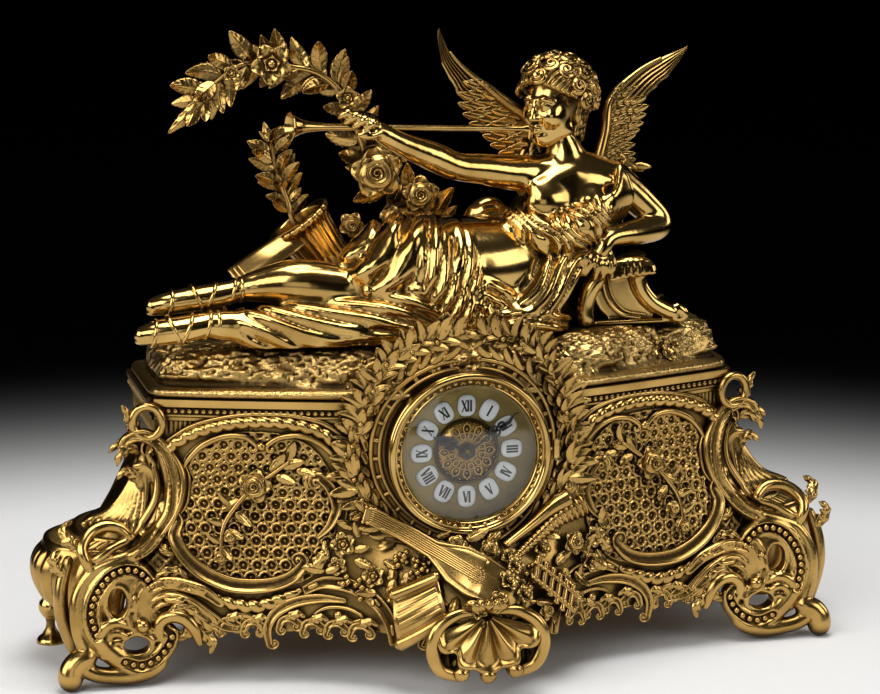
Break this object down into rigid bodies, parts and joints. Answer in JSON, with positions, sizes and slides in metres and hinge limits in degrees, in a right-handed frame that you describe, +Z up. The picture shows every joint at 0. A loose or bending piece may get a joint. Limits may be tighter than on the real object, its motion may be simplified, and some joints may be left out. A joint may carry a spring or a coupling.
{
  "type": "table clock",
  "caption": "Gilt brass table clock in the rococo manner: bowed case on scroll feet, round enamel-plaque dial, reclining winged figure with a trumpet on the lid.",
  "frame": {"origin": "on the ground under the middle of the width and depth", "axes": "+X to the right seen from the front, +Y to the back, +Z up; the dial looks along -Y"},
  "size_m": [0.537, 0.2274, 0.418],
  "materials": {
    "gilt_brass": "antiqued polish with dark recesses",
    "polished_brass": "mirror polish",
    "grained_gold": "matte grain",
    "white_enamel": "gloss",
    "black_hands": "satin",
    "steel": "satin",
    "black_nylon": "fine texture",
    "white_nylon": "fine texture",
    "clear_glass": "polished",
    "copper_winding": "lacquered wire"
  },
  "bodies": {
    "case": {"front_casting": "gilt_brass", "right_side_casting": "gilt_brass", "left_side_casting": "gilt_brass", "right_front_foot": "gilt_brass", "left_front_foot": "gilt_brass", "right_rear_foot": "gilt_brass", "left_rear_foot": "gilt_brass", "lid_casting": "gilt_brass", "back_plate": "gilt_brass", "shell_drop": "gilt_brass", "right_rose_spray": "gilt_brass", "left_rose_spray": "gilt_brass", "right_laurel_branch": "gilt_brass", "left_laurel_branch": "gilt_brass", "music_trophy": "gilt_brass", "winged_figure": "gilt_brass", "left_wing": "gilt_brass", "right_wing": "gilt_brass", "flower_arch": "gilt_brass", "quiver": "gilt_brass", "laurel_sprig": "gilt_brass", "scroll_stool": "gilt_brass", "dial_drum": "polished_brass", "dial_medallion": "polished_brass", "bush_nut": "polished_brass", "trumpet": "polished_brass", "dial_plate": "grained_gold", "numeral_plaque_01": "white_enamel", "numeral_plaque_02": "white_enamel", "numeral_plaque_03": "white_enamel", "numeral_plaque_04": "white_enamel", "numeral_plaque_05": "white_enamel", "numeral_plaque_06": "white_enamel", "numeral_plaque_07": "white_enamel", "numeral_plaque_08": "white_enamel", "numeral_plaque_09": "white_enamel", "numeral_plaque_10": "white_enamel", "numeral_plaque_11": "white_enamel", "numeral_plaque_12": "white_enamel", "back_door_pin": "steel", "bezel_hinge_pin": "steel", "battery_cell": "steel", "right_figure_bolt": "steel", "left_figure_bolt": "steel", "right_back_screw": "steel", "left_back_screw": "steel", "movement_case": "black_nylon", "movement_cover": "black_nylon", "motor_coil": "copper_winding"},
    "bezel": {"bezel_door": "polished_brass", "dial_glass": "clear_glass"},
    "minute": {"minute_hand": "black_hands", "hand_nut": "polished_brass", "cannon_pinion": "polished_brass"},
    "hour": {"hour_hand": "black_hands", "hour_wheel": "white_nylon"},
    "setting": {"setting_wheel": "white_nylon", "setting_knob": "white_nylon"},
    "back_door": {"back_door": "gilt_brass"}
  },
  "joints": [
    {"name": "minute_turn", "type": "hinge", "parent": "case", "child": "minute", "pos_m": [0, -0.05, 0.152], "axis": [0, 1, 0], "continuous": true},
    {"name": "hour_turn", "type": "hinge", "parent": "case", "child": "hour", "pos_m": [0, -0.05, 0.152], "axis": [0, 1, 0], "continuous": true},
    {"name": "setting_turn", "type": "hinge", "parent": "case", "child": "setting", "pos_m": [0, -0.04, 0.161], "axis": [0, 1, 0], "continuous": true},
    {"name": "bezel_swing", "type": "hinge", "parent": "case", "child": "bezel", "pos_m": [0.058, -0.0599, 0.152], "axis": [0, 0, 1], "range_deg": [0, 100]},
    {"name": "back_door_swing", "type": "hinge", "parent": "case", "child": "back_door", "pos_m": [-0.056, 0.1073, 0.118], "axis": [0, 0, 1], "range_deg": [0, 110]}
  ],
  "couplings": [
    {"joint": "hour_turn", "follows": "minute_turn", "ratio": 0.083333},
    {"joint": "setting_turn", "follows": "minute_turn", "ratio": -0.33333}
  ]
}
